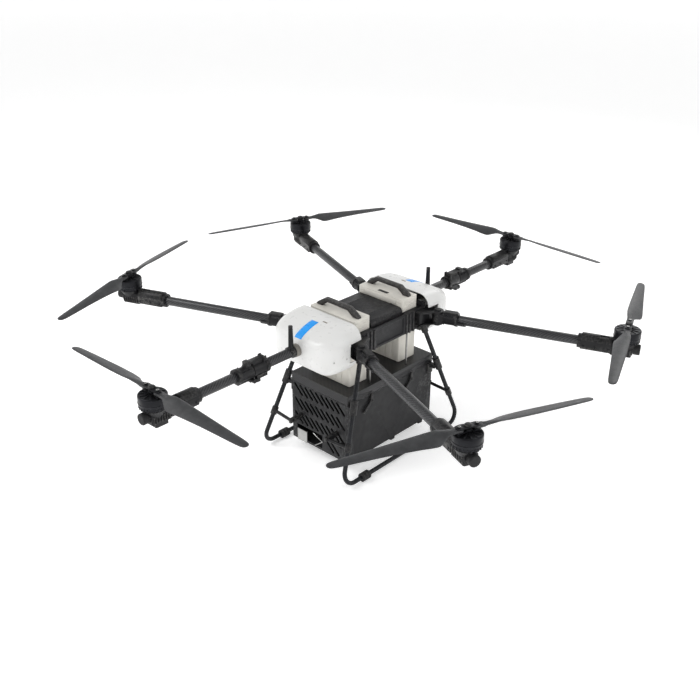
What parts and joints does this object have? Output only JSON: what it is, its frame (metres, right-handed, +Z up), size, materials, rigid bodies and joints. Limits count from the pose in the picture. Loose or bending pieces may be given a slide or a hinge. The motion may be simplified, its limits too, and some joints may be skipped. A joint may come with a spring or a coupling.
{
  "type": "agricultural hexacopter drone",
  "caption": "Folding multirotor farm drone with carbon arms, twin lift-out batteries, skid landing gear and a ventilated payload case below the frame.",
  "frame": {"origin": "on the ground under the centre of the airframe", "axes": "+Z up, nose towards -Y, the machine's left side towards +X"},
  "size_m": [2.4784, 2.499, 0.775],
  "materials": {
    "white_shell": "gloss",
    "black_plastic": "matt",
    "carbon_tube": "satin carbon-fibre weave",
    "carbon_plate": "carbon-fibre laminate",
    "prop_nylon": "satin",
    "motor_metal": "black anodised",
    "battery_shell": "satin",
    "case_sheet": "black powder coat",
    "leg_tube": "satin black coat",
    "rubber_grip": "matt",
    "rod_grey": "anodised",
    "steel_pin": "bright",
    "circuit": "board"
  },
  "bodies": {
    "airframe": {"side_beams": "black_plastic", "corner_brackets": "motor_metal", "cross_members": "carbon_plate", "avionics": "circuit", "hanger_rods": "rod_grey", "centre_cover": "black_plastic", "cover_front": "white_shell", "cover_rear": "white_shell", "antennas": "black_plastic", "arm_root_front": "carbon_tube", "arm_root_rear": "carbon_tube", "legs_left": "leg_tube", "legs_right": "leg_tube", "skid_tubes": "leg_tube", "skid_couplers": "rubber_grip", "leg_fittings": "black_plastic", "case_tub": "case_sheet", "case_lid": "case_sheet", "case_panel_front": "case_sheet", "case_panel_rear": "case_sheet"},
    "outer_arm_front": {"arm_front": "carbon_tube", "motor_mount_front": "black_plastic"},
    "spinning_rotor_front": {"rotor_front": "motor_metal"},
    "swing_blade_front_a": {"blade_front_a": "prop_nylon"},
    "swing_blade_front_b": {"blade_front_b": "prop_nylon"},
    "outer_arm_rear": {"arm_rear": "carbon_tube", "motor_mount_rear": "black_plastic"},
    "spinning_rotor_rear": {"rotor_rear": "motor_metal"},
    "swing_blade_rear_a": {"blade_rear_a": "prop_nylon"},
    "swing_blade_rear_b": {"blade_rear_b": "prop_nylon"},
    "outer_arm_front_left": {"arm_front_left": "carbon_tube", "motor_mount_front_left": "black_plastic"},
    "spinning_rotor_front_left": {"rotor_front_left": "motor_metal"},
    "swing_blade_front_left_a": {"blade_front_left_a": "prop_nylon"},
    "swing_blade_front_left_b": {"blade_front_left_b": "prop_nylon"},
    "outer_arm_rear_left": {"arm_rear_left": "carbon_tube", "motor_mount_rear_left": "black_plastic"},
    "spinning_rotor_rear_left": {"rotor_rear_left": "motor_metal"},
    "swing_blade_rear_left_a": {"blade_rear_left_a": "prop_nylon"},
    "swing_blade_rear_left_b": {"blade_rear_left_b": "prop_nylon"},
    "outer_arm_rear_right": {"arm_rear_right": "carbon_tube", "motor_mount_rear_right": "black_plastic"},
    "spinning_rotor_rear_right": {"rotor_rear_right": "motor_metal"},
    "swing_blade_rear_right_a": {"blade_rear_right_a": "prop_nylon"},
    "swing_blade_rear_right_b": {"blade_rear_right_b": "prop_nylon"},
    "outer_arm_front_right": {"arm_front_right": "carbon_tube", "motor_mount_front_right": "black_plastic"},
    "spinning_rotor_front_right": {"rotor_front_right": "motor_metal"},
    "swing_blade_front_right_a": {"blade_front_right_a": "prop_nylon"},
    "swing_blade_front_right_b": {"blade_front_right_b": "prop_nylon"},
    "lift_out_battery_front": {"battery_front": "battery_shell"},
    "push_button_front": {"battery_button_front": "rubber_grip"},
    "latch_lever_front": {"fold_latch_front": "steel_pin"},
    "lift_out_battery_rear": {"battery_rear": "battery_shell"},
    "push_button_rear": {"battery_button_rear": "rubber_grip"},
    "latch_lever_rear": {"fold_latch_rear": "steel_pin"},
    "case_lever_front_left": {"case_latch_front_left": "black_plastic"},
    "case_lever_rear_left": {"case_latch_rear_left": "black_plastic"},
    "case_lever_front_right": {"case_latch_front_right": "black_plastic"},
    "case_lever_rear_right": {"case_latch_rear_right": "black_plastic"}
  },
  "joints": [
    {"name": "fold_arm_front", "type": "hinge", "parent": "airframe", "child": "outer_arm_front", "pos_m": [0, -0.7, 0.589], "axis": [1, 0, 0], "range_deg": [0, 90]},
    {"name": "spin_front", "type": "hinge", "parent": "outer_arm_front", "child": "spinning_rotor_front", "pos_m": [0, -1.1855, 0.701], "axis": [0, 0, 1], "continuous": true},
    {"name": "fold_blade_front_a", "type": "hinge", "parent": "spinning_rotor_front", "child": "swing_blade_front_a", "pos_m": [0.037, -1.1855, 0.737], "axis": [0, 0, -1], "range_deg": [0, 100]},
    {"name": "fold_blade_front_b", "type": "hinge", "parent": "spinning_rotor_front", "child": "swing_blade_front_b", "pos_m": [-0.037, -1.1855, 0.737], "axis": [0, 0, -1], "range_deg": [0, 100]},
    {"name": "fold_arm_rear", "type": "hinge", "parent": "airframe", "child": "outer_arm_rear", "pos_m": [0, 0.7, 0.589], "axis": [1, 0, 0], "range_deg": [-90, 0]},
    {"name": "spin_rear", "type": "hinge", "parent": "outer_arm_rear", "child": "spinning_rotor_rear", "pos_m": [0, 1.1855, 0.701], "axis": [0, 0, -1], "continuous": true},
    {"name": "fold_blade_rear_a", "type": "hinge", "parent": "spinning_rotor_rear", "child": "swing_blade_rear_a", "pos_m": [-0.037, 1.1855, 0.737], "axis": [0, 0, 1], "range_deg": [0, 100]},
    {"name": "fold_blade_rear_b", "type": "hinge", "parent": "spinning_rotor_rear", "child": "swing_blade_rear_b", "pos_m": [0.037, 1.1855, 0.737], "axis": [0, 0, 1], "range_deg": [0, 100]},
    {"name": "fold_arm_front_left", "type": "hinge", "parent": "airframe", "child": "outer_arm_front_left", "pos_m": [0.228, -0.263, 0.631], "axis": [0, 0, 1], "range_deg": [0, 55]},
    {"name": "spin_front_left", "type": "hinge", "parent": "outer_arm_front_left", "child": "spinning_rotor_front_left", "pos_m": [1.0254, -0.5799, 0.701], "axis": [0, 0, -1], "continuous": true},
    {"name": "fold_blade_front_left_a", "type": "hinge", "parent": "spinning_rotor_front_left", "child": "swing_blade_front_left_a", "pos_m": [1.03906, -0.54552, 0.737], "axis": [0, 0, 1], "range_deg": [0, 100]},
    {"name": "fold_blade_front_left_b", "type": "hinge", "parent": "spinning_rotor_front_left", "child": "swing_blade_front_left_b", "pos_m": [1.01174, -0.61428, 0.737], "axis": [0, 0, 1], "range_deg": [0, 100]},
    {"name": "fold_arm_rear_left", "type": "hinge", "parent": "airframe", "child": "outer_arm_rear_left", "pos_m": [0.228, 0.263, 0.631], "axis": [0, 0, 1], "range_deg": [-55, 0]},
    {"name": "spin_rear_left", "type": "hinge", "parent": "outer_arm_rear_left", "child": "spinning_rotor_rear_left", "pos_m": [1.0254, 0.5799, 0.701], "axis": [0, 0, 1], "continuous": true},
    {"name": "fold_blade_rear_left_a", "type": "hinge", "parent": "spinning_rotor_rear_left", "child": "swing_blade_rear_left_a", "pos_m": [1.01174, 0.61428, 0.737], "axis": [0, 0, -1], "range_deg": [0, 100]},
    {"name": "fold_blade_rear_left_b", "type": "hinge", "parent": "spinning_rotor_rear_left", "child": "swing_blade_rear_left_b", "pos_m": [1.03906, 0.54552, 0.737], "axis": [0, 0, -1], "range_deg": [0, 100]},
    {"name": "fold_arm_rear_right", "type": "hinge", "parent": "airframe", "child": "outer_arm_rear_right", "pos_m": [-0.228, 0.263, 0.631], "axis": [0, 0, 1], "range_deg": [0, 55]},
    {"name": "spin_rear_right", "type": "hinge", "parent": "outer_arm_rear_right", "child": "spinning_rotor_rear_right", "pos_m": [-1.0254, 0.5799, 0.701], "axis": [0, 0, 1], "continuous": true},
    {"name": "fold_blade_rear_right_a", "type": "hinge", "parent": "spinning_rotor_rear_right", "child": "swing_blade_rear_right_a", "pos_m": [-1.03906, 0.54552, 0.737], "axis": [0, 0, -1], "range_deg": [0, 100]},
    {"name": "fold_blade_rear_right_b", "type": "hinge", "parent": "spinning_rotor_rear_right", "child": "swing_blade_rear_right_b", "pos_m": [-1.01174, 0.61428, 0.737], "axis": [0, 0, -1], "range_deg": [0, 100]},
    {"name": "fold_arm_front_right", "type": "hinge", "parent": "airframe", "child": "outer_arm_front_right", "pos_m": [-0.228, -0.263, 0.631], "axis": [0, 0, 1], "range_deg": [-55, 0]},
    {"name": "spin_front_right", "type": "hinge", "parent": "outer_arm_front_right", "child": "spinning_rotor_front_right", "pos_m": [-1.0254, -0.5799, 0.701], "axis": [0, 0, -1], "continuous": true},
    {"name": "fold_blade_front_right_a", "type": "hinge", "parent": "spinning_rotor_front_right", "child": "swing_blade_front_right_a", "pos_m": [-1.01174, -0.61428, 0.737], "axis": [0, 0, 1], "range_deg": [0, 100]},
    {"name": "fold_blade_front_right_b", "type": "hinge", "parent": "spinning_rotor_front_right", "child": "swing_blade_front_right_b", "pos_m": [-1.03906, -0.54552, 0.737], "axis": [0, 0, 1], "range_deg": [0, 100]},
    {"name": "lift_battery_front", "type": "slide", "parent": "airframe", "child": "lift_out_battery_front", "axis": [0, 0, 1], "range_m": [0, 0.36]},
    {"name": "press_button_front", "type": "slide", "parent": "lift_out_battery_front", "child": "push_button_front", "axis": [0, 0, -1], "range_m": [0, 0.0015], "stiffness_N_per_m": 800},
    {"name": "flip_latch_front", "type": "hinge", "parent": "airframe", "child": "latch_lever_front", "pos_m": [0, -0.634, 0.675], "axis": [-1, 0, 0], "range_deg": [0, 100]},
    {"name": "lift_battery_rear", "type": "slide", "parent": "airframe", "child": "lift_out_battery_rear", "axis": [0, 0, 1], "range_m": [0, 0.36]},
    {"name": "press_button_rear", "type": "slide", "parent": "lift_out_battery_rear", "child": "push_button_rear", "axis": [0, 0, -1], "range_m": [0, 0.0015], "stiffness_N_per_m": 800},
    {"name": "flip_latch_rear", "type": "hinge", "parent": "airframe", "child": "latch_lever_rear", "pos_m": [0, 0.634, 0.675], "axis": [1, 0, 0], "range_deg": [0, 100]},
    {"name": "turn_case_latch_front_left", "type": "hinge", "parent": "airframe", "child": "case_lever_front_left", "pos_m": [0.1895, -0.15, 0.336], "axis": [1, 0, 0], "range_deg": [0, 80]},
    {"name": "turn_case_latch_rear_left", "type": "hinge", "parent": "airframe", "child": "case_lever_rear_left", "pos_m": [0.1895, 0.132, 0.336], "axis": [1, 0, 0], "range_deg": [0, 80]},
    {"name": "turn_case_latch_front_right", "type": "hinge", "parent": "airframe", "child": "case_lever_front_right", "pos_m": [-0.1895, -0.15, 0.336], "axis": [1, 0, 0], "range_deg": [0, 80]},
    {"name": "turn_case_latch_rear_right", "type": "hinge", "parent": "airframe", "child": "case_lever_rear_right", "pos_m": [-0.1895, 0.132, 0.336], "axis": [1, 0, 0], "range_deg": [0, 80]}
  ]
}
